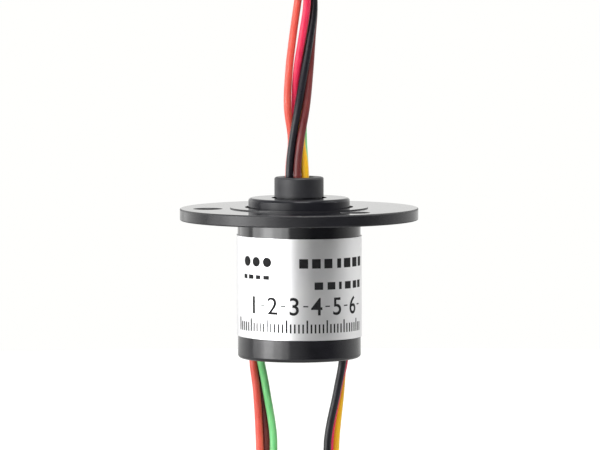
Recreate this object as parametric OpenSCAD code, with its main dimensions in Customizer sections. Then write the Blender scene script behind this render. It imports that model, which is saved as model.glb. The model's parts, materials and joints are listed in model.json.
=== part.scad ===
// Miniature six-circuit capsule slip ring with a three-hole mounting flange.
// The origin is on the axis in the plane of the flange's underside, +Z toward the rotor collar.
// All lengths are in millimetres.

/* [Housing] */
// Outside diameter of the housing below the flange
body_d = 12.5; // [12.2:0.1:14]
// Length of the housing below the flange
body_l = 14; // [13.8:0.1:20]
// Diameter of the chamber inside the housing
chamber_d = 10.4; // [10.3:0.1:10.8]
// Rounding of the housing's bottom edge
bottom_round = 0.35; // [0.1:0.05:0.5]
// Fillet at the root of the housing, under the flange
root_fillet = 0.2; // [0.16:0.02:0.3]

/* [Flange] */
// Outside diameter of the flange
flange_d = 24.2; // [23.6:0.1:30]
// Thickness of the flange
flange_t = 1.2; // [1:0.1:2.5]
// Rounding of the flange's edges
flange_round = 0.12; // [0.05:0.01:0.3]
// Diameter of the raised pad round the boss
pad_d = 14; // [12.5:0.1:15]
// Height of the raised pad
pad_h = 0.1; // [0.05:0.01:0.3]
// Diameter of the recess that the boss sits in
recess_d = 11; // [10.8:0.1:12]
// Depth of the recess below the pad
recess_h = 0.2; // [0.1:0.05:0.4]

/* [Mounting holes] */
// Number of mounting holes
hole_count = 3; // [2:1:6]
// Diameter of the mounting holes
hole_d = 2.8; // [2:0.1:3.2]
// Diameter of the circle that the mounting holes lie on
hole_pcd = 18.6; // [18.4:0.1:19.6]
// Direction of the first hole, turned from +X toward +Y
hole_turn = 67; // [0:1:119]
// Chamfer on the top edge of each hole
hole_chamfer = 0.12; // [0.05:0.01:0.2]

/* [Front cap] */
// Diameter of the boss
boss_d = 10.3; // [9.8:0.1:10.6]
// Height of the boss above the flange
boss_rise = 1.05; // [0.9:0.05:2]
// Diameter of the plug under the boss, which carries the front bearing
plug_d = 9.4; // [9:0.1:9.6]
// Thickness of the lip over the front bearing
lip_t = 0.65; // [0.4:0.05:0.8]
// Diameter of the opening in the lip, round the collar
lip_opening_d = 5.6; // [5.4:0.1:6]
// Rounding of the boss's top edge
boss_round = 0.3; // [0.1:0.05:0.4]
// Reach of the plug past the front bearing
plug_reach = 0.3; // [0.1:0.1:0.4]

/* [Rear cap] */
// Thickness of the rear cap
rear_cap_t = 1.8; // [1.6:0.1:1.9]
// Width of each notch that the leads leave by
notch_w = 3.4; // [3.2:0.1:4]
// Distance of each notch's inner end from the axis
notch_reach = 3.45; // [3.4:0.05:3.5]
// Height of the walls round the rear bearing
carrier_h = 2.3; // [1:0.1:2.5]
// Distance of the carrier walls' ends from the axis
carrier_cut = 3.65; // [3.2:0.05:3.65]

/* [Bearings] */
// Outside diameter of each ball bearing
bearing_od = 8; // [7.8:0.1:8]
// Width of each ball bearing
bearing_w = 2.5; // [2:0.1:2.6]
// Diameter of a ball
ball_d = 1; // [0.8:0.05:1]
// Balls in each bearing
ball_count = 10; // [6:1:12]
// Radial wall of each bearing race
race_wall = 0.4; // [0.3:0.05:0.5]
// Radial play between a ball and its races
ball_play = 0.03; // [0.02:0.01:0.04]
// Radial wall of the ball cage
cage_wall = 0.36; // [0.3:0.02:0.4]
// Height of the ball cage
cage_h = 1.5; // [1.2:0.1:1.8]

/* [Rotor] */
// Diameter of the rotor's collar
collar_d = 5; // [4.8:0.1:5.2]
// Height of the collar above the boss
collar_rise = 2.1; // [1:0.1:5]
// Diameter of the bore that the rotor leads pass through
shaft_bore_d = 3.2; // [3.1:0.1:3.4]
// Rounding of the collar's top edges
collar_round = 0.2; // [0.1:0.05:0.3]
// Depth of the relief groove at the collar's root
relief_depth = 0.2; // [0.16:0.02:0.3]
// Height of the relief groove above the boss
relief_rise = 0.1; // [0.06:0.02:0.2]
// Length of the shaft past the retaining clip
shaft_tail = 0.4; // [0.3:0.05:0.5]
// Diameter of the cross holes that the leads reach the rings by
lead_hole_d = 0.7; // [0.5:0.05:0.75]

/* [Retaining clip] */
// Outside diameter of the retaining clip
clip_d = 6.2; // [5.6:0.1:6.4]
// Thickness of the retaining clip
clip_t = 0.3; // [0.2:0.05:0.4]
// Depth of the clip's groove in the shaft
clip_groove = 0.2; // [0.1:0.05:0.25]
// Opening angle of the retaining clip
clip_gap_angle = 60; // [30:5:90]

/* [Contact rings] */
// Outside diameter of the contact rings
ring_d = 6.4; // [6:0.1:6.6]
// Depth of the V groove that the brush wires run in
groove_depth = 0.3; // [0.2:0.01:0.32]
// Diameter of the insulating barriers between the rings
barrier_d = 7.2; // [7:0.1:7.4]
// Share of the distance between neighbouring rings that the barrier takes
barrier_share = 0.36; // [0.24:0.02:0.42]
// Diameter of the end barriers' spacing hubs
hub_d = 5.8; // [5.6:0.1:6]
// Length of the end barriers' spacing hubs
hub_l = 0.425; // [0.3:0.025:0.5]

/* [Brushes] */
// Diameter of the brush wire
brush_wire_d = 0.2; // [0.12:0.02:0.24]
// Thickness of each brush board
board_t = 0.4; // [0.3:0.05:0.4]
// Width of each brush board
board_w = 4.4; // [4:0.1:4.5]
// Gap between the rear bearing and each board's inner face
board_gap = 0.1; // [0.05:0.01:0.12]
// Spread of a brush's two roots on its board
brush_spread = 3; // [2.4:0.1:3.2]
// Length of each brush leg past its contact point
brush_overrun = 1; // [0.5:0.1:1.5]
// Distance between a brush wire and its groove
brush_gap = 0.03; // [0.02:0.01:0.05]
// Thickness of the rails that hold the boards
rail_t = 0.3; // [0.2:0.05:0.35]
// Reach of the rails over the boards' edges
rail_grip = 0.4; // [0.2:0.05:0.45]
// Clearance between a board and its rails
board_play = 0.05; // [0.03:0.01:0.08]

/* [Label] */
// Height of the foil label
label_h = 10.2; // [6:0.2:11]
// Distance of the label's top edge below the flange
label_drop = 1.55; // [1:0.05:2]
// Thickness of the foil label
label_t = 0.1; // [0.05:0.01:0.15]
// Slant of the label's edges
label_slant = 0.6; // [0:0.1:1]
// Width of the open seam at the label's back
label_seam = 0.3; // [0.2:0.1:1]

/* [Leads] */
// Diameter of each insulated lead
wire_d = 0.78; // [0.7:0.01:0.78]
// Height of the straight runs of the rotor leads' hank
rotor_hank_run = 37; // [30:1:45]
// Height of the straight runs of the stator leads' hank
stator_hank_run = 39; // [30:1:45]
// Bend radius of a hank's innermost fold
fold_r = 2.4; // [2.4:0.1:3]
// Distance between neighbouring strands in a hank
strand_pitch = 0.8; // [0.8:0.01:0.9]
// Wall of the tie round a hank
tie_wall = 0.5; // [0.3:0.1:1]
// Height of the tie round a hank
tie_h = 2.5; // [2:0.5:5]
// Reach of the tie's locking head past the band's edges
tie_head_reach = 0.3; // [0.1:0.1:0.5]
// Thickness of the tie's locking head
tie_head_t = 1.5; // [1:0.1:2.5]

/* [Fits] */
// Gap round a pressed or glued piece
fit_gap = 0.01; // [0.005:0.005:0.02]
// Gap at the shaft's end and round the clip
end_play = 0.2; // [0.1:0.05:0.3]
// Play of the retaining clip in its groove
groove_play = 0.02; // [0.01:0.01:0.05]

/* [Hidden] */
$fn = 64;

eps = 0.01;
// Overshoot of a cutting shape past the surface that it cuts
over = 1;
circuits = 6;
// Sides of each lead's tube
tube_sides = 8;

// Heights along the axis
pad_z = flange_t + pad_h;
recess_z = pad_z - recess_h;
boss_z = flange_t + boss_rise;
collar_z = boss_z + collar_rise;
front_bearing_z = boss_z - lip_t - bearing_w;
plug_z = front_bearing_z - plug_reach;
rear_bearing_z = rear_cap_t - body_l;
clip_z = rear_bearing_z - clip_t;
shaft_z = clip_z - shaft_tail;
board_z0 = rear_bearing_z + fit_gap;
board_z1 = plug_z - end_play;

// The stack of rings and barriers between the two bearings
stack_l = front_bearing_z - rear_bearing_z - bearing_w - 2 * hub_l;
ring_pitch = stack_l / (circuits + barrier_share);
barrier_w = barrier_share * ring_pitch;
ring_w = ring_pitch - barrier_w;
stack_z = front_bearing_z - hub_l;
function barrier_z(i) = stack_z - barrier_w - i * ring_pitch;
function ring_z(i) = barrier_z(i) - ring_w / 2;

// Radii
shaft_r = collar_d / 2;
bore_r = shaft_r + fit_gap;
pitch_r = (bore_r + bearing_od / 2) / 2;
race_r = ball_d / 2 + ball_play;
brush_r = ring_d / 2 - groove_depth + (brush_wire_d / 2 + brush_gap) * sqrt(2);
board_x = bearing_od / 2 + board_gap;
root_x = board_x - brush_wire_d / 2;
root_y = brush_spread / 2;
wire_bend_r = 1.5 * brush_wire_d;
bridge_x = board_x + board_t + wire_bend_r;
carrier_r = plug_d / 2;

plastic = [0.13, 0.13, 0.14];
rotor_plastic = [0.15, 0.15, 0.16];
foil = [0.86, 0.87, 0.88];
steel = [0.72, 0.73, 0.75];
gold = [0.83, 0.66, 0.3];
laminate = [0.1, 0.35, 0.2];
nylon = [0.9, 0.9, 0.88];
brass_cage = [0.75, 0.6, 0.35];
orange = [0.9, 0.42, 0.34];
red = [0.86, 0.2, 0.32];
black = [0.2, 0.2, 0.21];
brown = [0.42, 0.22, 0.2];
yellow = [0.87, 0.63, 0.17];
green = [0.42, 0.78, 0.48];

// Routes of the leads: each starts inside and ends in its hank
rotor_hank_x = 0.8;
rotor_hank_z = 28;
rotor_route_orange = [
    [-1, 0.5, -2.2], [-1, 0.5, 5.2], [-0.75, 0.3, 8], [-1.15, 0.05, 11.5],
    [-1, 0.05, 15], [-0.6, 0.15, 18.5], [-0.1, 0.2, 22], [0.8, -0.4, 28]
];
rotor_route_red = [
    [-0.2, 0.6, -3.4], [-0.2, 0.75, 5.2], [-0.35, 1.05, 8], [-0.4, 0.65, 11.5],
    [-0.2, -0.05, 15], [0.35, -0.45, 18.5], [0.85, -0.95, 22], [0.8, -2, 28]
];
rotor_route_black = [
    [-0.95, -0.3, -4.7], [-0.95, -0.3, 5.2], [-0.65, -0.5, 8], [-0.05, -0.6, 11.5],
    [0.55, -0.3, 15], [1.15, -0.25, 18.5], [1.55, -0.3, 22], [0.8, -1.2, 28]
];
rotor_route_brown = [
    [-0.15, -0.5, -5.9], [-0.15, -0.55, 5.2], [0.15, -0.65, 8], [0.75, -0.35, 11.5],
    [1.1, 0.35, 15], [1.35, 0.55, 18.5], [1.55, 0.5, 22], [0.8, 0.4, 28]
];
rotor_route_yellow = [
    [0.6, 0, -7.2], [0.6, 0, 5.2], [0.25, 0.2, 8], [0.45, 0.4, 11.5],
    [0.4, 0.85, 15], [0.45, 0.85, 18.5], [0.85, 1.1, 22], [0.8, 1.2, 28]
];
rotor_route_green = [
    [0.6, 0.85, -8.4], [0.6, 0.85, 5.2], [0.45, 1, 8], [0.5, 1.2, 11.5],
    [1.1, 1.4, 15], [1.15, 1.4, 18.5], [1.5, 1.7, 22], [0.8, 2, 28]
];

stator_hank_x = 4;
stator_hank_z = -29;
stator_route_orange = [
    [-4.7, 0.05, -12.3], [-4.7, -0.15, -14.5], [-4.35, -0.25, -17.5],
    [-4.05, -0.25, -23.5], [-4, -0.4, -29]
];
stator_route_green = [
    [-4.3, -0.9, -12.3], [-3.9, -0.35, -14.5], [-3.35, -0.35, -17.5],
    [-2.65, -0.35, -23.5], [-4, -2, -29]
];
stator_route_brown = [
    [-4.35, 0.9, -12.3], [-4.25, 0.5, -14.5], [-3.85, 0.4, -17.5],
    [-3.4, 0.3, -23.5], [-4, 1.2, -29]
];
stator_route_black = [
    [4.4, -0.9, -12.3], [4.35, -0.5, -14.5], [3.8, -0.55, -17.5],
    [2.8, -0.65, -23.5], [4, -1.2, -29]
];
stator_route_red = [
    [4.65, 0.05, -12.3], [4.55, 0.3, -14.5], [3.9, 0.3, -17.5],
    [3.05, 0.15, -23.5], [4, 0.4, -29]
];
stator_route_yellow = [
    [4.4, 1, -12.3], [4.4, 1.15, -14.5], [4.2, 1.05, -17.5],
    [3.65, 0.7, -23.5], [4, 2, -29]
];

// The hanks: three turns of six strands, each folded in a plane of its own
strands = 6;
turns = 3;
hank_outer_r = fold_r + (turns - 1) * strand_pitch;
hank_edge_r = hank_outer_r + strand_pitch / 2;
hank_depth = strands * strand_pitch;

// ---- shared shapes ----

// Square corner of a profile rounded away: sx and sy say which way the corner points
module corner(x, y, r, sx, sy) {
    translate([x, y])
        mirror([sx < 0 ? 1 : 0, 0])
            mirror([0, sy < 0 ? 1 : 0])
                translate([-r, -r])
                    difference() {
                        square(r + over);
                        circle(r);
                    }
}

// Copy on the left or the right of the axis
module on_side(side) {
    mirror([side < 0 ? 1 : 0, 0, 0])
        children();
}

// Ring of rectangular section between two heights
module ring(r_in, r_out, z0, z1) {
    translate([0, 0, z0])
        difference() {
            cylinder(h = z1 - z0, r = r_out);
            translate([0, 0, -over])
                cylinder(h = z1 - z0 + 2 * over, r = r_in);
        }
}

// Full circle of copies round the axis
module around(count, radius, first = 0) {
    for (i = [0 : count - 1])
        rotate([0, 0, first + i * 360 / count])
            translate([radius, 0, 0])
                children();
}

// ---- housing and caps ----

module housing_profile() {
    body_r = body_d / 2;
    chamber_r = chamber_d / 2;
    plug_r = plug_d / 2 + fit_gap;
    difference() {
        union() {
            translate([chamber_r, -body_l])
                square([body_r - chamber_r, body_l + flange_t / 2]);
            translate([plug_r, 0])
                square([flange_d / 2 - plug_r, flange_t]);
            translate([plug_r, 0])
                square([pad_d / 2 - plug_r, pad_z]);
            difference() {
                translate([body_r - eps, -root_fillet])
                    square(root_fillet + eps);
                translate([body_r + root_fillet, -root_fillet])
                    circle(root_fillet);
            }
        }
        translate([0, recess_z])
            square([recess_d / 2, recess_h + over]);
        corner(body_r, -body_l, bottom_round, 1, -1);
        corner(flange_d / 2, flange_t, flange_round, 1, 1);
        corner(flange_d / 2, 0, flange_round, 1, -1);
    }
}

// Four upright rails that keep the two brush boards against the wall
module board_rails() {
    rail_x = board_x - board_play - rail_t;
    rail_y = board_w / 2 - rail_grip;
    rail_l = chamber_d / 2;
    intersection() {
        for (side = [-1, 1], y = [rail_y, -rail_y - rail_l])
            on_side(side)
                translate([rail_x, y, board_z0])
                    cube([rail_t, rail_l, board_z1 - board_z0]);
        translate([0, 0, board_z0 - over])
            cylinder(h = board_z1 - board_z0 + 2 * over, r = chamber_d / 2 + eps);
    }
}

module mounting_holes() {
    around(hole_count, hole_pcd / 2, hole_turn) {
        translate([0, 0, -over])
            cylinder(h = flange_t + 2 * over, d = hole_d);
        translate([0, 0, flange_t - hole_chamfer])
            cylinder(h = 2 * hole_chamfer, r1 = hole_d / 2, r2 = hole_d / 2 + 2 * hole_chamfer);
    }
}

module housing() {
    color(plastic) {
        difference() {
            rotate_extrude()
                housing_profile();
            mounting_holes();
        }
        board_rails();
    }
}

module front_cap() {
    color(plastic)
        rotate_extrude()
            difference() {
                union() {
                    translate([lip_opening_d / 2, recess_z])
                        square([(boss_d - lip_opening_d) / 2, boss_z - recess_z]);
                    translate([bearing_od / 2 + fit_gap, plug_z])
                        square([(plug_d - bearing_od) / 2 - fit_gap, boss_z - plug_z - lip_t]);
                }
                translate([0, plug_z - over])
                    square([bearing_od / 2 + fit_gap, boss_z - lip_t - plug_z + over]);
                corner(boss_d / 2, boss_z, boss_round, 1, 1);
            }
}

module rear_cap() {
    cap_r = chamber_d / 2 - fit_gap;
    seat_r = bearing_od / 2 + fit_gap;
    pocket_r = clip_d / 2 + end_play / 2;
    pocket_h = clip_t + shaft_tail + end_play;
    color(plastic) {
        difference() {
            translate([0, 0, -body_l])
                cylinder(h = rear_cap_t, r = cap_r);
            translate([0, 0, rear_bearing_z - pocket_h])
                cylinder(h = pocket_h + over, r = pocket_r);
            for (side = [-1, 1])
                on_side(side)
                    translate([notch_reach, -notch_w / 2, -body_l - over])
                        cube([chamber_d, notch_w, rear_cap_t + 2 * over]);
        }
        intersection() {
            ring(seat_r, carrier_r, rear_bearing_z - eps, rear_bearing_z + carrier_h);
            translate([-carrier_cut, -chamber_d / 2, -body_l])
                cube([2 * carrier_cut, chamber_d, body_l]);
        }
    }
}

module label_sleeve() {
    label_z = -label_drop - label_h / 2;
    label_r = body_d / 2 + label_t;
    color(foil)
        difference() {
            translate([0, 0, label_z])
                rotate([0, label_slant, 0])
                    translate([0, 0, -label_h / 2])
                        cylinder(h = label_h, r = body_d);
            ring(label_r, 3 * body_d, label_z - label_h, label_z + label_h);
            translate([0, 0, label_z - label_h])
                cylinder(h = 2 * label_h, d = body_d);
            translate([-label_seam / 2, 0, label_z - label_h])
                cube([label_seam, body_d, 2 * label_h]);
        }
}

// ---- ball bearings ----

// Ball track cut into a race
module ball_track(z) {
    translate([0, 0, z + bearing_w / 2])
        rotate_extrude()
            translate([pitch_r, 0])
                circle(race_r);
}

module outer_race(z) {
    color(steel)
        difference() {
            ring(bearing_od / 2 - race_wall, bearing_od / 2, z, z + bearing_w);
            ball_track(z);
        }
}

module inner_race(z) {
    color(steel)
        difference() {
            ring(bore_r, bore_r + race_wall, z, z + bearing_w);
            ball_track(z);
        }
}

module balls(z) {
    color(steel)
        translate([0, 0, z + bearing_w / 2])
            around(ball_count, pitch_r)
                sphere(d = ball_d, $fn = 32);
}

module ball_cage(z) {
    cage_z = z + (bearing_w - cage_h) / 2;
    color(brass_cage)
        difference() {
            ring(pitch_r - cage_wall / 2, pitch_r + cage_wall / 2, cage_z, cage_z + cage_h);
            translate([0, 0, z + bearing_w / 2])
                around(ball_count, pitch_r)
                    rotate([0, 90, 0])
                        cylinder(h = 2 * cage_wall, r = race_r, center = true);
        }
}

// ---- rotor ----

module rotor_shaft() {
    bore = shaft_bore_d / 2;
    color(rotor_plastic)
        difference() {
            rotate_extrude()
                difference() {
                    translate([bore, shaft_z])
                        square([shaft_r - bore, collar_z - shaft_z]);
                    corner(shaft_r, collar_z, collar_round, 1, 1);
                    corner(bore, collar_z, collar_round / 2, -1, 1);
                    translate([shaft_r - relief_depth, boss_z - lip_t])
                        square([over, lip_t + relief_rise]);
                    translate([shaft_r - clip_groove, clip_z - groove_play])
                        square([over, clip_t + groove_play]);
                }
            for (i = [0 : circuits - 1])
                translate([0, 0, ring_z(i)])
                    rotate([0, 90, i * 360 / circuits])
                        cylinder(h = collar_d, d = lead_hole_d);
        }
}

module retaining_clip() {
    clip_r = shaft_r - clip_groove + fit_gap;
    color(steel)
        translate([0, 0, clip_z])
            rotate([0, 0, clip_gap_angle / 2])
                rotate_extrude(angle = 360 - clip_gap_angle)
                    translate([clip_r, 0])
                        square([clip_d / 2 - clip_r, clip_t]);
}

module contact_ring(i) {
    ring_r = ring_d / 2;
    color(gold)
        translate([0, 0, ring_z(i)])
            rotate_extrude()
                polygon([
                    [bore_r, -ring_w / 2], [ring_r, -ring_w / 2], [ring_r, -groove_depth],
                    [ring_r - groove_depth, 0], [ring_r, groove_depth],
                    [ring_r, ring_w / 2], [bore_r, ring_w / 2]
                ]);
}

module barrier(i) {
    first = i == 0;
    last = i == circuits;
    hub_z0 = last ? barrier_z(i) - hub_l : barrier_z(i);
    hub_z1 = first ? barrier_z(i) + barrier_w + hub_l : barrier_z(i) + barrier_w;
    color(nylon) {
        ring(bore_r, barrier_d / 2, barrier_z(i), barrier_z(i) + barrier_w);
        if (first || last)
            ring(bore_r, hub_d / 2 - fit_gap, hub_z0, hub_z1);
    }
}

// ---- brushes ----

module brush_board(side) {
    color(laminate)
        difference() {
            translate([side > 0 ? board_x : -board_x - board_t, -board_w / 2, board_z0])
                cube([board_t, board_w, board_z1 - board_z0]);
            for (i = [0 : circuits - 1])
                if (brush_side(i) == side)
                    for (root = [-1, 1])
                        translate([side * board_x, root * brush_spread / 2, ring_z(i)])
                            rotate([0, 90, 0])
                                cylinder(h = 4 * board_t, d = brush_wire_d + 2 * fit_gap, center = true);
        }
}

// Odd circuits are on the left board and even ones on the right
function brush_side(i) = i % 2 == 0 ? -1 : 1;

// A hairpin of spring wire: its legs pass through the board and touch the groove on both sides
module brush(i) {
    color(gold)
        translate([0, 0, ring_z(i)])
            on_side(brush_side(i)) {
                brush_half();
                mirror([0, 1, 0])
                    brush_half();
            }
}

// Half of a hairpin: half the bridge behind the board, a root through it, a bend and a leg
module brush_half() {
    centre_y = root_y + wire_bend_r;
    centre_distance = norm([root_x, centre_y]);
    leg_angle = asin((brush_r + wire_bend_r) / centre_distance) - atan(centre_y / root_x);
    leg_x = root_x - wire_bend_r * sin(leg_angle);
    leg_y = centre_y - wire_bend_r * cos(leg_angle);
    leg_l = leg_x * cos(leg_angle) - leg_y * sin(leg_angle) + brush_overrun;
    translate([bridge_x, -eps, 0])
        wire_run(root_y - wire_bend_r + eps, 90);
    translate([bridge_x - wire_bend_r, root_y - wire_bend_r, 0])
        wire_bend(0, 90);
    translate([bridge_x - wire_bend_r, root_y, 0])
        wire_run(bridge_x - wire_bend_r - root_x, 180);
    translate([root_x, centre_y, 0])
        wire_bend(-90 - leg_angle, leg_angle);
    translate([leg_x + eps * cos(leg_angle), leg_y - eps * sin(leg_angle), 0])
        wire_run(leg_l + eps, 180 - leg_angle);
}

// Straight piece of brush wire along a direction in the brush's plane
module wire_run(length, turn) {
    rotate([0, 90, turn])
        cylinder(h = length, d = brush_wire_d);
}

// Bent piece of brush wire, from one direction through an angle
module wire_bend(first, angle) {
    rotate([0, 0, first])
        rotate_extrude(angle = angle)
            translate([wire_bend_r, 0])
                circle(d = brush_wire_d);
}

// ---- leads ----

function unit(v) = v / norm(v);
function heading(route, i) =
    unit(route[min(i + 1, len(route) - 1)] - route[max(i - 1, 0)]);

// One ring of points square to the route
function tube_ring(route, i, r) =
    let (
        t = heading(route, i),
        u = unit(cross([0, 1, 0], t)),
        v = cross(t, u),
        turn = 360 / tube_sides
    )
    [for (k = [0 : tube_sides - 1]) route[i] + r * (cos(turn * k) * u + sin(turn * k) * v)];

// Number of a point of the tube, counted ring by ring
function tube_point(i, k) = tube_sides * i + k % tube_sides;

module lead(route) {
    last = len(route) - 1;
    points = [for (i = [0 : last]) each tube_ring(route, i, wire_d / 2)];
    sides = [
        for (i = [0 : last - 1], k = [0 : tube_sides - 1])
            [tube_point(i, k), tube_point(i, k + 1), tube_point(i + 1, k + 1), tube_point(i + 1, k)]
    ];
    start = [for (k = [tube_sides - 1 : -1 : 0]) tube_point(0, k)];
    end = [for (k = [0 : tube_sides - 1]) tube_point(last, k)];
    polyhedron(points, concat(sides, [start, end]));
}

// Outline with two straight runs and round folds, seen from the front
module hank(x, z, run, up) {
    translate([x, hank_depth / 2, z])
        rotate([90, 0, 0])
            linear_extrude(hank_depth) {
                translate([-hank_edge_r, up ? 0 : -run])
                    square([2 * hank_edge_r, run]);
                circle(hank_edge_r);
                translate([0, up ? run : -run])
                    circle(hank_edge_r);
            }
}

// Flat band round both runs of a hank, with its locking head in front
module tie(x, z) {
    inner_x = 2 * hank_edge_r + 2 * fit_gap;
    inner_y = hank_depth + 2 * fit_gap;
    head = tie_h + 2 * tie_head_reach;
    color(nylon)
        translate([x, 0, z]) {
            difference() {
                cube([inner_x + 2 * tie_wall, inner_y + 2 * tie_wall, tie_h], center = true);
                cube([inner_x, inner_y, 2 * tie_h], center = true);
            }
            translate([-head / 2, inner_y / 2, -head / 2])
                cube([head, tie_head_t, head]);
        }
}

module rotor_lead_hank() {
    color(black)
        hank(rotor_hank_x + hank_outer_r, rotor_hank_z, rotor_hank_run, true);
}

module rotor_lead_tie() {
    tie(rotor_hank_x + hank_outer_r, rotor_hank_z + rotor_hank_run / 2);
}

module stator_lead_hank() {
    color(black)
        hank(0, stator_hank_z, stator_hank_run, false);
}

module stator_lead_tie() {
    tie(0, stator_hank_z - stator_hank_run / 2);
}

housing();
front_cap();
rear_cap();
label_sleeve();
outer_race(front_bearing_z);  // front_bearing_outer_race
inner_race(front_bearing_z);  // front_bearing_inner_race
balls(front_bearing_z);  // front_bearing_balls
ball_cage(front_bearing_z);  // front_bearing_cage
outer_race(rear_bearing_z);  // rear_bearing_outer_race
inner_race(rear_bearing_z);  // rear_bearing_inner_race
balls(rear_bearing_z);  // rear_bearing_balls
ball_cage(rear_bearing_z);  // rear_bearing_cage
rotor_shaft();
retaining_clip();
contact_ring(0);  // contact_ring_1
contact_ring(1);  // contact_ring_2
contact_ring(2);  // contact_ring_3
contact_ring(3);  // contact_ring_4
contact_ring(4);  // contact_ring_5
contact_ring(5);  // contact_ring_6
barrier(0);  // barrier_1
barrier(1);  // barrier_2
barrier(2);  // barrier_3
barrier(3);  // barrier_4
barrier(4);  // barrier_5
barrier(5);  // barrier_6
barrier(6);  // barrier_7
brush_board(-1);  // brush_board_left
brush_board(1);  // brush_board_right
brush(0);  // brush_1
brush(1);  // brush_2
brush(2);  // brush_3
brush(3);  // brush_4
brush(4);  // brush_5
brush(5);  // brush_6
color(orange) lead(rotor_route_orange);  // rotor_lead_orange
color(red) lead(rotor_route_red);  // rotor_lead_red
color(black) lead(rotor_route_black);  // rotor_lead_black
color(brown) lead(rotor_route_brown);  // rotor_lead_brown
color(yellow) lead(rotor_route_yellow);  // rotor_lead_yellow
color(green) lead(rotor_route_green);  // rotor_lead_green
rotor_lead_hank();
rotor_lead_tie();
color(orange) lead(stator_route_orange);  // stator_lead_orange
color(green) lead(stator_route_green);  // stator_lead_green
color(brown) lead(stator_route_brown);  // stator_lead_brown
color(black) lead(stator_route_black);  // stator_lead_black
color(red) lead(stator_route_red);  // stator_lead_red
color(yellow) lead(stator_route_yellow);  // stator_lead_yellow
stator_lead_hank();
stator_lead_tie();
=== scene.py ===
"""Miniature six-circuit slip ring with a mounting flange: its looks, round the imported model."""
import json
import math

import bmesh
import bpy
from mathutils import Matrix, Quaternion, Vector


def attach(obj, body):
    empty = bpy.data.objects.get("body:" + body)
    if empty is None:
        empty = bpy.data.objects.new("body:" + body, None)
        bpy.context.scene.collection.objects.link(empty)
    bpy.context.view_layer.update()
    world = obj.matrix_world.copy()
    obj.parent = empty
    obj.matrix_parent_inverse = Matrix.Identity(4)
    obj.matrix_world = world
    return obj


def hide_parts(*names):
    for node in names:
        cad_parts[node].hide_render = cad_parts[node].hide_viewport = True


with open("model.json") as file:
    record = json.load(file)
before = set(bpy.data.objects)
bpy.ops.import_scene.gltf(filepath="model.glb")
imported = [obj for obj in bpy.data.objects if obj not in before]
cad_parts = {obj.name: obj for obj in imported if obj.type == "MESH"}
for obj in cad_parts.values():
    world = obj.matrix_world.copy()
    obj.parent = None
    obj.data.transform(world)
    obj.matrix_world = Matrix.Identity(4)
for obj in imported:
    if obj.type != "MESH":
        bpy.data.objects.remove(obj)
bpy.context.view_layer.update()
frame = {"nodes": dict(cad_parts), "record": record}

MM = 0.001

# ---------------------------------------------------------------- the camera

CAMERA_TARGET = Vector((0.09, 0, -0.545)) * MM
CAMERA_DISTANCE = 450 * MM
CAMERA_ELEVATION = math.radians(4.06)
CAMERA_ROLL = math.radians(-0.14)
CAMERA_LENS = 266
CAMERA_SENSOR = 36


def aim(stand, out, roll=0.0):
    """Turn a camera or a lamp so that it looks back along the direction that it stands out in."""
    stand.rotation_mode = "QUATERNION"
    stand.rotation_quaternion = (-out).to_track_quat("-Z", "Y") @ Quaternion((0, 0, 1), roll)


def set_up_camera():
    camera = bpy.data.cameras.new("camera")
    camera.lens = CAMERA_LENS
    camera.sensor_width = CAMERA_SENSOR
    camera.clip_start = 0.01
    camera.clip_end = 60
    stand = bpy.data.objects.new("camera", camera)
    bpy.context.scene.collection.objects.link(stand)
    out = Vector((0, -math.cos(CAMERA_ELEVATION), math.sin(CAMERA_ELEVATION)))
    stand.location = CAMERA_TARGET + out * CAMERA_DISTANCE
    aim(stand, out, CAMERA_ROLL)
    bpy.context.scene.camera = stand


set_up_camera()

# ---------------------------------------------------------------- shader helpers


def new_material(name, colour, roughness, metallic=0.0, ior=1.5):
    """A principled material, with its tree and shader at hand."""
    material = bpy.data.materials.new(name)
    material.use_nodes = True
    tree = material.node_tree
    shader = tree.nodes["Principled BSDF"]
    shader.inputs["Base Color"].default_value = (*colour, 1)
    shader.inputs["Roughness"].default_value = roughness
    shader.inputs["Metallic"].default_value = metallic
    shader.inputs["IOR"].default_value = ior
    return material, tree, shader


def object_coordinates(tree, scale=(1, 1, 1)):
    """Object coordinates, in millimetres times scale."""
    source = tree.nodes.new("ShaderNodeTexCoord")
    mapping = tree.nodes.new("ShaderNodeMapping")
    mapping.inputs["Scale"].default_value = [1000 * s for s in scale]
    tree.links.new(source.outputs["Object"], mapping.inputs["Vector"])
    return mapping.outputs["Vector"]


def noise(tree, vector, scale, detail=3.0, roughness=0.5):
    node = tree.nodes.new("ShaderNodeTexNoise")
    node.inputs["Scale"].default_value = scale
    node.inputs["Detail"].default_value = detail
    node.inputs["Roughness"].default_value = roughness
    tree.links.new(vector, node.inputs["Vector"])
    return node.outputs["Fac"]


def spread(tree, value, low, high, from_low=0.3, from_high=0.7):
    """A value spread over a range. Noise lies mostly between 0.3 and 0.7."""
    node = tree.nodes.new("ShaderNodeMapRange")
    node.inputs["From Min"].default_value = from_low
    node.inputs["From Max"].default_value = from_high
    node.inputs["To Min"].default_value = low
    node.inputs["To Max"].default_value = high
    tree.links.new(value, node.inputs["Value"])
    return node.outputs["Result"]


def combined(tree, operation, first, second):
    """A value from a node, combined with a number or with another such value."""
    node = tree.nodes.new("ShaderNodeMath")
    node.operation = operation
    tree.links.new(first, node.inputs[0])
    if isinstance(second, (int, float)):
        node.inputs[1].default_value = second
    else:
        tree.links.new(second, node.inputs[1])
    return node.outputs[0]


def colour_between(tree, shader, factor, first, second):
    node = tree.nodes.new("ShaderNodeMix")
    node.data_type = "RGBA"
    node.inputs["A"].default_value = (*first, 1)
    node.inputs["B"].default_value = (*second, 1)
    tree.links.new(factor, node.inputs["Factor"])
    tree.links.new(node.outputs["Result"], shader.inputs["Base Color"])


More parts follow.
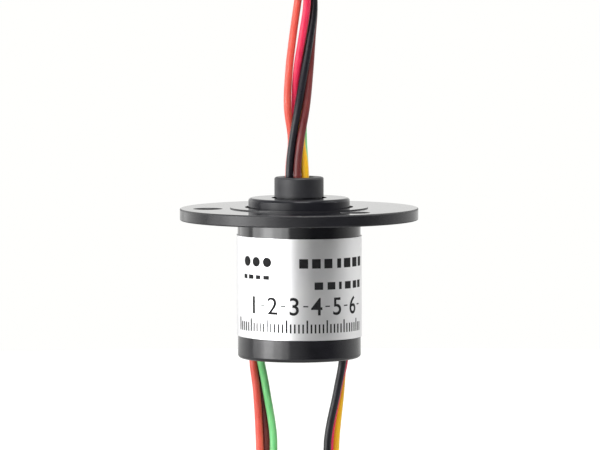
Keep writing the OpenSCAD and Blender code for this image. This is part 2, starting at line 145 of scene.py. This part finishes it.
def roughness_between(tree, shader, value, low, high):
    tree.links.new(spread(tree, value, low, high), shader.inputs["Roughness"])


def bump(tree, shader, height, distance_mm):
    node = tree.nodes.new("ShaderNodeBump")
    node.inputs["Distance"].default_value = distance_mm * MM
    node.inputs["Strength"].default_value = 1
    tree.links.new(height, node.inputs["Height"])
    tree.links.new(node.outputs["Normal"], shader.inputs["Normal"])


# ---------------------------------------------------------------- lead materials

# The light and the deep tone of each lead
LEAD_COLOURS = {
    "orange": ((0.72, 0.124, 0.09), (0.64, 0.096, 0.07)),
    "red": ((0.74, 0.03, 0.1), (0.64, 0.022, 0.078)),
    "black": ((0.008, 0.008, 0.011), (0.013, 0.012, 0.017)),
    "brown": ((0.18, 0.039, 0.036), (0.125, 0.023, 0.025)),
    "yellow": ((0.82, 0.5, 0.024), (0.76, 0.42, 0.02)),
    "green": ((0.23, 0.66, 0.27), (0.18, 0.56, 0.21)),
}
INSULATION_DEPTH = 0.4


def lead_insulation(name, light, deep, depth_mm):
    """Extruded insulation: a smooth, slightly clear skin with slow colour drift and faint waves.
    depth_mm: how far light sinks in, 0 for a dense colour."""
    material, tree, shader = new_material(name, light, 0.3, ior=1.36)
    if depth_mm:
        shader.inputs["Subsurface Weight"].default_value = 0.6
        shader.inputs["Subsurface Radius"].default_value = (1, 0.6, 0.5)
        shader.inputs["Subsurface Scale"].default_value = depth_mm * MM
    place = object_coordinates(tree)
    drift = spread(tree, noise(tree, place, 0.35, 2), 0, 1, 0.35, 0.65)
    colour_between(tree, shader, drift, light, deep)
    roughness_between(tree, shader, noise(tree, place, 6, 4), 0.25, 0.38)
    bump(tree, shader, noise(tree, place, 1.6, 3), 0.012)
    return material


def tinned_copper():
    material, tree, shader = new_material(
        "tinned_copper", (0.62, 0.61, 0.58), 0.3, metallic=1.0)
    place = object_coordinates(tree)
    roughness_between(tree, shader, noise(tree, place, 5), 0.22, 0.42)
    bump(tree, shader, noise(tree, place, 9), 0.004)
    return material


TINNED_COPPER = tinned_copper()
LEAD_MATERIALS = {
    name: lead_insulation("lead_" + name, *pair, 0 if name == "black" else INSULATION_DEPTH)
    for name, pair in LEAD_COLOURS.items()
}

# ---------------------------------------------------------------- the leads, in millimetres

WIRE_D = 0.78
LEAD_LENGTH = 250
STRIPPED = 3
COLLAR_TOP = 4.35
HOUSING_BOTTOM = -14

STRANDS = 6
STRAND_PITCH = 0.8
FOLD_R = 2.4
FOLD_STEPS = 12
HANK_OUTER_R = FOLD_R + 2 * STRAND_PITCH
# Each hank: its middle, its near end, the height of its runs and which way they go
ROTOR_HANK = {"x": 0.8 + HANK_OUTER_R, "z": 28, "run": 37, "up": 1}
STATOR_HANK = {"x": 0, "z": -29, "run": 39, "up": -1}

TIP_STRANDS = 6
TIP_STRAND_D = 0.127
TIP_LAY = 3.6
TIP_INSIDE = 0.5
TIP_STEPS = 12

# The routes from inside the slip ring to the hanks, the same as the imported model's
ROTOR_ROUTES = {
    "orange": [(-1, .5, -2.2), (-1, .5, 5.2), (-.75, .3, 8), (-1.15, .05, 11.5),
               (-1, .05, 15), (-.6, .15, 18.5), (-.1, .2, 22), (.8, -.4, 28)],
    "red": [(-.2, .6, -3.4), (-.2, .75, 5.2), (-.35, 1.05, 8), (-.4, .65, 11.5),
            (-.2, -.05, 15), (.35, -.45, 18.5), (.85, -.95, 22), (.8, -2, 28)],
    "black": [(-.95, -.3, -4.7), (-.95, -.3, 5.2), (-.65, -.5, 8), (-.05, -.6, 11.5),
              (.55, -.3, 15), (1.15, -.25, 18.5), (1.55, -.3, 22), (.8, -1.2, 28)],
    "brown": [(-.15, -.5, -5.9), (-.15, -.55, 5.2), (.15, -.65, 8), (.75, -.35, 11.5),
              (1.1, .35, 15), (1.35, .55, 18.5), (1.55, .5, 22), (.8, .4, 28)],
    "yellow": [(.6, 0, -7.2), (.6, 0, 5.2), (.25, .2, 8), (.45, .4, 11.5),
               (.4, .85, 15), (.45, .85, 18.5), (.85, 1.1, 22), (.8, 1.2, 28)],
    "green": [(.6, .85, -8.4), (.6, .85, 5.2), (.45, 1, 8), (.5, 1.2, 11.5),
              (1.1, 1.4, 15), (1.15, 1.4, 18.5), (1.5, 1.7, 22), (.8, 2, 28)],
}
STATOR_ROUTES = {
    "orange": [(-4.7, .05, -12.3), (-4.7, -.15, -14.5), (-4.35, -.25, -17.5),
               (-4.05, -.25, -23.5), (-4, -.4, -29)],
    "green": [(-4.3, -.9, -12.3), (-3.9, -.35, -14.5), (-3.35, -.35, -17.5),
              (-2.65, -.35, -23.5), (-4, -2, -29)],
    "brown": [(-4.35, .9, -12.3), (-4.25, .5, -14.5), (-3.85, .4, -17.5),
              (-3.4, .3, -23.5), (-4, 1.2, -29)],
    "black": [(4.4, -.9, -12.3), (4.35, -.5, -14.5), (3.8, -.55, -17.5),
              (2.8, -.65, -23.5), (4, -1.2, -29)],
    "red": [(4.65, .05, -12.3), (4.55, .3, -14.5), (3.9, .3, -17.5),
            (3.05, .15, -23.5), (4, .4, -29)],
    "yellow": [(4.4, 1, -12.3), (4.4, 1.15, -14.5), (4.2, 1.05, -17.5),
               (3.65, .7, -23.5), (4, 2, -29)],
}


def eased(points, steps=6):
    """Centripetal spline through the points, so that a wire bends smoothly from one to the next."""
    route = [Vector(p) for p in points]
    route = [2 * route[0] - route[1], *route, 2 * route[-1] - route[-2]]
    line = []
    for p0, p1, p2, p3 in zip(route, route[1:], route[2:], route[3:]):
        t1 = (p1 - p0).length ** 0.5
        t2 = t1 + (p2 - p1).length ** 0.5
        t3 = t2 + (p3 - p2).length ** 0.5
        for k in range(steps):
            t = t1 + (t2 - t1) * k / steps
            a1 = p0 * (t1 - t) / t1 + p1 * t / t1
            a2 = p1 * (t2 - t) / (t2 - t1) + p2 * (t - t1) / (t2 - t1)
            a3 = p2 * (t3 - t) / (t3 - t2) + p3 * (t - t2) / (t3 - t2)
            b1 = a1 * (t2 - t) / t2 + a2 * t / t2
            b2 = a2 * (t3 - t) / (t3 - t1) + a3 * (t - t1) / (t3 - t1)
            line.append(b1 * (t2 - t) / (t2 - t1) + b2 * (t - t1) / (t2 - t1))
    return line + [route[-2]]


def hank_line(hank, start):
    """The folded stretch of one strand, in its own plane: four folds between five runs."""
    x, y, near = start
    up = hank["up"]
    side = 1 if x < hank["x"] else -1
    far = near + up * hank["run"]
    outer, middle = HANK_OUTER_R, HANK_OUTER_R - STRAND_PITCH
    half = STRAND_PITCH / 2
    # Each fold: which end it is at, its centre, its radius and the side it starts from
    folds = (
        (far, 0, outer, -1),
        (near, half, outer - half, 1),
        (far, 0, middle, -1),
        (near, half, middle - half, 1),
    )
    line = []
    for level, offset, radius, first in folds:
        outward = up if level == far else -up
        for k in range(FOLD_STEPS + 1):
            turn = math.pi * k / FOLD_STEPS
            across = hank["x"] + side * (offset + first * radius * math.cos(turn))
            line.append(Vector((across, y, level + outward * radius * math.sin(turn))))
    return line + [Vector((line[-1].x, y, far))]


def filled(line, longest=2.4):
    """The line with points added along its straight runs."""
    dense = [line[0]]
    for a, b in zip(line, line[1:]):
        count = max(1, math.ceil((b - a).length / longest))
        dense += [a.lerp(b, k / count) for k in range(1, count + 1)]
    return dense


def trimmed(line, length):
    """The first stretch of the line, of that length."""
    kept, left = [line[0]], length
    for a, b in zip(line, line[1:]):
        step = (b - a).length
        if step >= left:
            kept.append(a.lerp(b, left / step))
            return kept
        kept.append(b)
        left -= step
    return kept


def line_length(line):
    return sum((b - a).length for a, b in zip(line, line[1:]))


def new_object(name, data, body=None, material=None):
    piece = bpy.data.objects.new(name, data)
    bpy.context.scene.collection.objects.link(piece)
    if material:
        data.materials.append(material)
    if body:
        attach(piece, body)
    return piece


def mesh_object(name, bm, body=None, material=None):
    mesh = bpy.data.meshes.new(name)
    bm.to_mesh(mesh)
    bm.free()
    return new_object(name, mesh, body, material)


def round_wires(name, lines, diameter, smoothness, body, material):
    """One piece of round wires, each along a line given in millimetres."""
    data = bpy.data.curves.new(name, "CURVE")
    data.dimensions = "3D"
    data.bevel_depth = diameter / 2 * MM
    data.bevel_resolution = smoothness
    data.use_fill_caps = True
    for line in lines:
        spline = data.splines.new("POLY")
        spline.points.add(len(line) - 1)
        for point, place in zip(spline.points, line):
            point.co = (*(place * MM), 1)
        spline.use_smooth = True
    return new_object(name, data, body, material)


def tip_lines(start, heading):
    """The bare end of a lead: tinned strands twisted round a straight middle one."""
    side = heading.orthogonal().normalized()
    other = heading.cross(side)
    lines = []
    for i in range(TIP_STRANDS + 1):
        radius = TIP_STRAND_D if i < TIP_STRANDS else 0
        line = []
        for k in range(TIP_STEPS + 1):
            along = (STRIPPED + TIP_INSIDE) * k / TIP_STEPS - TIP_INSIDE
            turn = 2 * math.pi * (i / TIP_STRANDS + along / TIP_LAY)
            out = side * math.cos(turn) + other * math.sin(turn)
            line.append(start + heading * along + out * radius)
        lines.append(line)
    return lines


def make_leads():
    """Every lead, with its tip, its middle line and the last point of that line inside the body."""
    made = {}
    for prefix, body, routes, hank, exit_z in (
        ("rotor_lead", "rotor", ROTOR_ROUTES, ROTOR_HANK, COLLAR_TOP),
        ("stator_lead", "stator", STATOR_ROUTES, STATOR_HANK, HOUSING_BOTTOM),
    ):
        for colour, route in routes.items():
            line = filled(eased(route) + hank_line(hank, route[-1]))
            inside = [p for p in line if (p.z - exit_z) * hank["up"] <= 0]
            line = trimmed(line, line_length(inside) + LEAD_LENGTH - STRIPPED)
            wire = round_wires(
                f"{prefix}_{colour}_insulation", [line], WIRE_D, 4, body, LEAD_MATERIALS[colour])
            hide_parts(f"{prefix}_{colour}", f"{prefix}_hank")
            heading = (line[-1] - line[-2]).normalized()
            strands = tip_lines(line[-1], heading)
            tip = round_wires(
                f"{prefix}_{colour}_tip", strands, TIP_STRAND_D, 1, body, TINNED_COPPER)
            made[prefix, colour] = (wire, tip, line, inside[-1])
    return made


leads = make_leads()

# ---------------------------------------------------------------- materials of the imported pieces


def moulded_plastic(name, colour, levels, grain=0.0012, draft=None, ior=1.52):
    """Moulded plastic with faint flow marks and a fine grain.
    levels: heights in mm, each with its roughness.
    draft: the two heights between which the side leans out, and by how much, in mm."""
    material, tree, shader = new_material(name, colour, levels[0][1], ior=ior)
    place = object_coordinates(tree)
    lighter = tuple(1.6 * c + 0.001 for c in colour)
    drift = spread(tree, noise(tree, place, 0.45, 4), 0, 1)
    colour_between(tree, shader, drift, colour, lighter)
    split = tree.nodes.new("ShaderNodeSeparateXYZ")
    tree.links.new(place, split.inputs[0])
    gloss = spread(tree, noise(tree, place, 0.8, 4, 0.6), -0.02, 0.03)
    gloss = combined(tree, "ADD", gloss, levels[0][1])
    for (low, before), (high, after) in zip(levels, levels[1:]):
        step = spread(tree, split.outputs["Z"], 0, after - before, low, high)
        gloss = combined(tree, "ADD", gloss, step)
    tree.links.new(gloss, shader.inputs["Roughness"])
    height = noise(tree, place, 7, 5, 0.6)
    if draft:
        low, high, lean = draft
        slope = spread(tree, split.outputs["Z"], 0, lean / grain, low, high)
        height = combined(tree, "ADD", height, slope)
    bump(tree, shader, height, grain)
    return material


def machined_metal(name, colour, roughness):
    """Turned metal: fine rings square to the axis."""
    material, tree, shader = new_material(name, colour, roughness, metallic=1.0)
    rings = noise(tree, object_coordinates(tree, (0.6, 0.6, 14)), 1, 2)
    roughness_between(tree, shader, rings, roughness - 0.06, roughness + 0.1)
    darker = tuple(0.82 * c for c in colour)
    drift = spread(tree, noise(tree, object_coordinates(tree), 0.9), 0, 1)
    colour_between(tree, shader, drift, colour, darker)
    bump(tree, shader, rings, 0.003)
    return material


def glass_epoxy():
    """Circuit board laminate: a fine square weave under green resin."""
    material, tree, shader = new_material("board_laminate", (0.02, 0.13, 0.055), 0.35)
    place = object_coordinates(tree)
    waves = []
    for direction in ("Y", "Z"):
        wave = tree.nodes.new("ShaderNodeTexWave")
        wave.bands_direction = direction
        wave.inputs["Scale"].default_value = 1.2
        wave.inputs["Distortion"].default_value = 0.6
        tree.links.new(place, wave.inputs["Vector"])
        waves.append(wave.outputs["Fac"])
    weave = combined(tree, "MULTIPLY", *waves)
    colour_between(tree, shader, weave, (0.018, 0.11, 0.045), (0.04, 0.2, 0.085))
    bump(tree, shader, weave, 0.006)
    return material


def nylon(name, colour):
    material, tree, shader = new_material(name, colour, 0.42, ior=1.53)
    place = object_coordinates(tree)
    darker = tuple(0.86 * c for c in colour)
    drift = spread(tree, noise(tree, place, 0.7, 3), 0, 1)
    colour_between(tree, shader, drift, colour, darker)
    roughness_between(tree, shader, noise(tree, place, 4), 0.36, 0.5)
    bump(tree, shader, noise(tree, place, 5, 4), 0.006)
    return material


def silver_foil():
    """Matt silver film: a faint crinkle and a fine grain."""
    material, tree, shader = new_material("label_foil", (0.8, 0.8, 0.81), 0.36, metallic=0.95)
    place = object_coordinates(tree)
    drift = spread(tree, noise(tree, place, 0.35, 3), 0, 1)
    colour_between(tree, shader, drift, (0.81, 0.81, 0.815), (0.77, 0.77, 0.785))
    roughness_between(tree, shader, noise(tree, place, 5, 4), 0.33, 0.39)
    bump(tree, shader, noise(tree, place, 0.8, 3), 0.006)
    return material


# The flange's corner and the step up to its pad are duller than the faces between them
HOUSING_LEVELS = [
    (-20, 0.14), (-0.3, 0.14), (-0.05, 0.2), (1.02, 0.2), (1.08, 0.42), (1.185, 0.42),
    (1.195, 0.07), (1.205, 0.07), (1.215, 0.4), (1.285, 0.4), (1.295, 0.07),
]
CAP_LEVELS = [(-20, 0.23), (1.95, 0.23), (2.2, 0.08)]
ROTOR_LEVELS = [(0, 0.45), (4, 0.45)]

FINISHES = {
    "black_plastic": moulded_plastic(
        "black_plastic", (0.006, 0.006, 0.0078), HOUSING_LEVELS, draft=(0, 1.2, 0.056)),
    "rotor_plastic": moulded_plastic(
        "rotor_plastic", (0.012, 0.012, 0.0145), ROTOR_LEVELS, grain=0.003, ior=1.47),
    "label_foil": silver_foil(),
    "bearing_steel": machined_metal("bearing_steel", (0.6, 0.6, 0.62), 0.24),
    "cage_brass": machined_metal("cage_brass", (0.72, 0.5, 0.22), 0.34),
    "contact_gold": machined_metal("contact_gold", (0.88, 0.62, 0.24), 0.2),
    "board_laminate": glass_epoxy(),
    "barrier_plastic": nylon("barrier_plastic", (0.72, 0.69, 0.6)),
    "tie_nylon": nylon("tie_nylon", (0.78, 0.78, 0.75)),
}
CAP_FINISH = moulded_plastic("cap_plastic", (0.009, 0.009, 0.0115), CAP_LEVELS, ior=1.29)
NODE_SLOTS = {part["node"]: part["material_slot"] for part in frame["record"]["subparts"]}

for name, node in frame["nodes"].items():
    slot = NODE_SLOTS[name]
    finish = FINISHES.get(slot) or LEAD_MATERIALS[slot.removeprefix("lead_")]
    for place in node.material_slots:
        place.material = CAP_FINISH if name == "front_cap" else finish

# ---------------------------------------------------------------- the label's print

LABEL_R = 6.35
LABEL_SLANT = math.tan(math.radians(0.6))
# How far the print's face stands out of the label, and how thick the print is
INK_RISE = 0.012
INK_T = 0.03
# Width of the strips that the flat print is cut into before it is bent
STRIP = 0.25

DOTS = (-6.1, -4.75, -3.4)
DOT_Z = -3.95
DOT_D = 1.0
# Each row of bars: the height of its middle, the bars' height, and each bar's place and width
BAR_ROWS = (
    (-5.5, 0.42, ((-6.4, 0.5), (-5.5, 0.7), (-4.5, 0.6), (-3.5, 0.7))),
    (-4.0, 0.95, ((0.45, 0.9), (1.75, 0.9), (3.05, 0.9), (4.35, 0.5), (5.5, 1.0), (6.8, 0.9),
                  (8.0, 0.8))),
    (-6.25, 0.75, ((2.0, 0.9), (3.4, 0.9), (4.5, 0.35), (5.6, 0.9), (6.8, 0.7), (7.8, 0.7))),
)
CIRCUITS = 6
DIGIT_X = -5.1
DIGIT_Z = -8.3
DIGIT_H = 1.75
DIGIT_PITCH = 2.3
SCALE_X = -7.6
SCALE_Z = -11
SCALE_PITCH = 0.42
SCALE_LINES = 38


def ink():
    material, tree, shader = new_material("printing_ink", (0.006, 0.006, 0.007), 0.6, ior=1.3)
    place = object_coordinates(tree)
    drift = spread(tree, noise(tree, place, 3, 4), 0, 1)
    colour_between(tree, shader, drift, (0.004, 0.004, 0.005), (0.012, 0.012, 0.013))
    grain = noise(tree, place, 8)
    roughness_between(tree, shader, grain, 0.55, 0.7)
    bump(tree, shader, grain, 0.003)
    return material


def flat_bar(bm, x, z, width, height):
    square = bmesh.ops.create_grid(bm, x_segments=1, y_segments=1, size=0.5)["verts"]
    bmesh.ops.scale(bm, verts=square, vec=(width, height, 1))
    bmesh.ops.translate(bm, verts=square, vec=(x, z, 0))


def flat_dot(bm, x, z, diameter):
    disc = bmesh.ops.create_circle(bm, cap_ends=True, segments=28, radius=diameter / 2)["verts"]
    bmesh.ops.translate(bm, verts=disc, vec=(x, z, 0))


def flat_digit(bm, digit, x, z, height):
    words = bpy.data.curves.new("digit", "FONT")
    words.body = digit
    # A digit is 0.7 of the font's size, and the offset makes its strokes bolder
    words.size = height / 0.7
    words.offset = 0.018
    words.align_x = "CENTER"
    shape = bpy.data.objects.new("digit", words)
    bpy.context.scene.collection.objects.link(shape)
    graph = bpy.context.evaluated_depsgraph_get()
    mesh = bpy.data.meshes.new_from_object(shape.evaluated_get(graph))
    mesh.transform(Matrix.Translation((x, z - height / 2, 0)))
    bm.from_mesh(mesh)
    bpy.data.objects.remove(shape)
    bpy.data.meshes.remove(mesh)


def flat_marks():
    """Plain marks, drawn flat: dots, bars, the circuit numbers and a scale."""
    bm = bmesh.new()
    for x in DOTS:
        flat_dot(bm, x, DOT_Z, DOT_D)
    for z, height, bars in BAR_ROWS:
        for x, width in bars:
            flat_bar(bm, x, z, width, height)
    for k in range(CIRCUITS):
        x = DIGIT_X + DIGIT_PITCH * k
        flat_digit(bm, str(k + 1), x, DIGIT_Z, DIGIT_H)
        flat_bar(bm, x + DIGIT_PITCH / 2, DIGIT_Z, 0.5, 0.12)
    for k in range(SCALE_LINES):
        height = 1.3 if k % 5 == 0 else 0.9
        flat_bar(bm, SCALE_X + SCALE_PITCH * k, SCALE_Z + height / 2, 0.16, height)
    return bm


def wrap_round_label(bm):
    """Bend flat marks round the label, slant them and give them their thickness."""
    cut = min(v.co.x for v in bm.verts)
    high = max(v.co.x for v in bm.verts)
    while cut < high:
        cut += STRIP
        whole = bm.verts[:] + bm.edges[:] + bm.faces[:]
        bmesh.ops.bisect_plane(bm, geom=whole, plane_co=(cut, 0, 0), plane_no=(1, 0, 0))
    r = LABEL_R + INK_RISE
    for v in bm.verts:
        turn = v.co.x / LABEL_R
        x = r * math.sin(turn)
        v.co = Vector((x, -r * math.cos(turn), v.co.y - LABEL_SLANT * x)) * MM
    bmesh.ops.remove_doubles(bm, verts=bm.verts, dist=1e-7)
    for face in bm.faces:
        face.normal_update()
        middle = face.calc_center_median()
        if face.normal.dot(Vector((middle.x, middle.y, 0))) < 0:
            face.normal_flip()
    bmesh.ops.solidify(bm, geom=bm.faces[:], thickness=INK_T * MM)


def print_marks():
    bm = flat_marks()
    wrap_round_label(bm)
    marks = mesh_object("label_print", bm, "stator", ink())


print_marks()

# ---------------------------------------------------------------- ties round the stored leads

TIE_WALL = 0.5
TIE_HEIGHT = 2.5
TIE_CORNER_R = 0.8
TIE_GAP = 0.01
TIE_HEAD = (3.1, 1.5, 3.1)
TIE_TAIL = (0.45, 0.9, 2.1)
TIE_TAIL_AT = (0.6, 1.2)
TIE_BEVEL = 0.22


def block(bm, size, middle):
    """A block of that size, as its vertices."""
    corners = bmesh.ops.create_cube(bm, size=1)["verts"]
    bmesh.ops.scale(bm, verts=corners, vec=size)
    bmesh.ops.translate(bm, verts=corners, vec=middle)
    return corners


def tie_band(name, hank, body, cad_node):
    """A flat nylon tie: a band round both runs, a locking head at the back and its cut tail."""
    x = hank["x"]
    z = hank["z"] + hank["up"] * hank["run"] / 2
    half_x = HANK_OUTER_R + STRAND_PITCH / 2 + TIE_GAP
    half_y = STRANDS * STRAND_PITCH / 2 + TIE_GAP
    flat_x = half_x + TIE_WALL - TIE_CORNER_R
    flat_y = half_y + TIE_WALL - TIE_CORNER_R
    bm = bmesh.new()
    rim = []
    for cx, cy, first in ((1, 1, 0), (-1, 1, 90), (-1, -1, 180), (1, -1, 270)):
        for k in range(7):
            turn = math.radians(first + 15 * k)
            rim.append(bm.verts.new((
                x + cx * flat_x + TIE_CORNER_R * math.cos(turn),
                cy * flat_y + TIE_CORNER_R * math.sin(turn),
                z - TIE_HEIGHT / 2,
            )))
    bottom = bm.faces.new(rim)
    wall = bmesh.ops.extrude_edge_only(bm, edges=bottom.edges[:])["geom"]
    top = [g for g in wall if isinstance(g, bmesh.types.BMVert)]
    bmesh.ops.translate(bm, verts=top, vec=(0, 0, TIE_HEIGHT))
    bmesh.ops.delete(bm, geom=[bottom], context="FACES_ONLY")
    bmesh.ops.recalc_face_normals(bm, faces=bm.faces[:])
    if bm.faces[0].normal.dot(bm.faces[0].calc_center_median() - Vector((x, 0, z))) < 0:
        bmesh.ops.reverse_faces(bm, faces=bm.faces[:])
    bmesh.ops.solidify(bm, geom=bm.faces[:], thickness=TIE_WALL)
    head = block(bm, TIE_HEAD, (x, half_y + TIE_HEAD[1] / 2, z))
    tail = block(bm, TIE_TAIL, (x + TIE_TAIL_AT[0], half_y + TIE_TAIL_AT[1], z))
    edges = list({e for v in head + tail for e in v.link_edges})
    bmesh.ops.bevel(
        bm, geom=edges, offset=TIE_BEVEL, segments=3, profile=0.5, affect="EDGES", material=-1)
    bmesh.ops.scale(bm, verts=bm.verts, vec=(MM, MM, MM))
    tie = mesh_object(name, bm, body, FINISHES["tie_nylon"])
    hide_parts(cad_node)
    return tie


rotor_tie = tie_band("rotor_hank_tie", ROTOR_HANK, "rotor", "rotor_lead_tie")
stator_tie = tie_band("stator_hank_tie", STATOR_HANK, "stator", "stator_lead_tie")

# ---------------------------------------------------------------- floor, world and lights

FLOOR_Z = -72.6 * MM
FLOOR_R = 450 * MM
FLOOR_SHIFT = 150 * MM
FLOOR_GLOW = 0.65

# Each lamp: azimuth, elevation, distance, width, height and radiance
LAMPS = {
    "key_left": (-58, 0, 520, 830, 140, 4.4),
    "key_middle": (-55, 0, 505, 410, 140, 2),
    "key_core": (-60, 0, 495, 175, 140, 2.9),
    "fill_right": (84, 30, 600, 420, 300, 3),
    "rim_left": (-128, 6, 600, 420, 260, 1),
    "fill_front": (10, 52, 600, 300, 450, 6),
    "top": (0, 80, 700, 700, 500, 1.5),
}


def make_floor():
    """A pale floor that the camera sees as white."""
    bm = bmesh.new()
    bmesh.ops.create_circle(bm, cap_ends=True, segments=128, radius=FLOOR_R)
    bmesh.ops.translate(bm, verts=bm.verts, vec=(0, FLOOR_SHIFT, FLOOR_Z))
    material, tree, shader = new_material("pale_floor", (0.46, 0.46, 0.455), 0.8)
    shader.inputs["Emission Color"].default_value = (1, 1, 0.99, 1)
    path = tree.nodes.new("ShaderNodeLightPath")
    glow = combined(tree, "MULTIPLY", path.outputs["Is Camera Ray"], FLOOR_GLOW)
    tree.links.new(glow, shader.inputs["Emission Strength"])
    floor = mesh_object("floor", bm, None, material)


def make_world():
    """White behind the object and for the camera, dim on the camera's side, as in a studio tent
    open at the front."""
    world = bpy.data.worlds.new("studio")
    world.use_nodes = True
    bpy.context.scene.world = world
    tree = world.node_tree
    background = tree.nodes["Background"]
    background.inputs["Color"].default_value = (1, 1, 0.985, 1)
    direction = tree.nodes.new("ShaderNodeTexCoord")
    parts = tree.nodes.new("ShaderNodeSeparateXYZ")
    tree.links.new(direction.outputs["Generated"], parts.inputs[0])
    # The open front is darkest on its right. The walls of the tent begin farther forward there
    front = spread(tree, parts.outputs["X"], 0.68, 0.06, -0.2, 0.38)
    left_wall = spread(tree, parts.outputs["Y"], 0, 1, 0, 0.3)
    right_wall = spread(tree, parts.outputs["Y"], 0, 1, -0.45, 0.45)
    for wall in (left_wall, right_wall):
        tree.links.new(front, wall.node.inputs["To Min"])
    on_right = spread(tree, parts.outputs["X"], 0, 1, -0.1, 0.1)
    walls = tree.nodes.new("ShaderNodeMix")
    walls.data_type = "FLOAT"
    tree.links.new(on_right, walls.inputs["Factor"])
    tree.links.new(left_wall, walls.inputs["A"])
    tree.links.new(right_wall, walls.inputs["B"])
    path = tree.nodes.new("ShaderNodeLightPath")
    camera_ray = path.outputs["Is Camera Ray"]
    brightest = combined(tree, "MAXIMUM", walls.outputs["Result"], camera_ray)
    tree.links.new(brightest, background.inputs["Strength"])


def softbox(name, azimuth, elevation, distance, width, height, radiance):
    """A rectangular soft lamp that looks at the object. Angles are in degrees, azimuth 0 is in
    front and 90 on the right. Lengths are in millimetres."""
    lamp = bpy.data.lights.new(name, "AREA")
    lamp.shape = "RECTANGLE"
    lamp.size = width * MM
    lamp.size_y = height * MM
    lamp.energy = radiance * math.pi * lamp.size * lamp.size_y
    stand = new_object(name, lamp)
    a, e = math.radians(azimuth), math.radians(elevation)
    out = Vector((math.sin(a) * math.cos(e), -math.cos(a) * math.cos(e), math.sin(e)))
    stand.location = out * distance * MM
    aim(stand, out)
    stand.visible_camera = False


make_floor()
make_world()
for name, values in LAMPS.items():
    softbox(name, *values)

scene = bpy.context.scene
scene.view_settings.view_transform = "Standard"
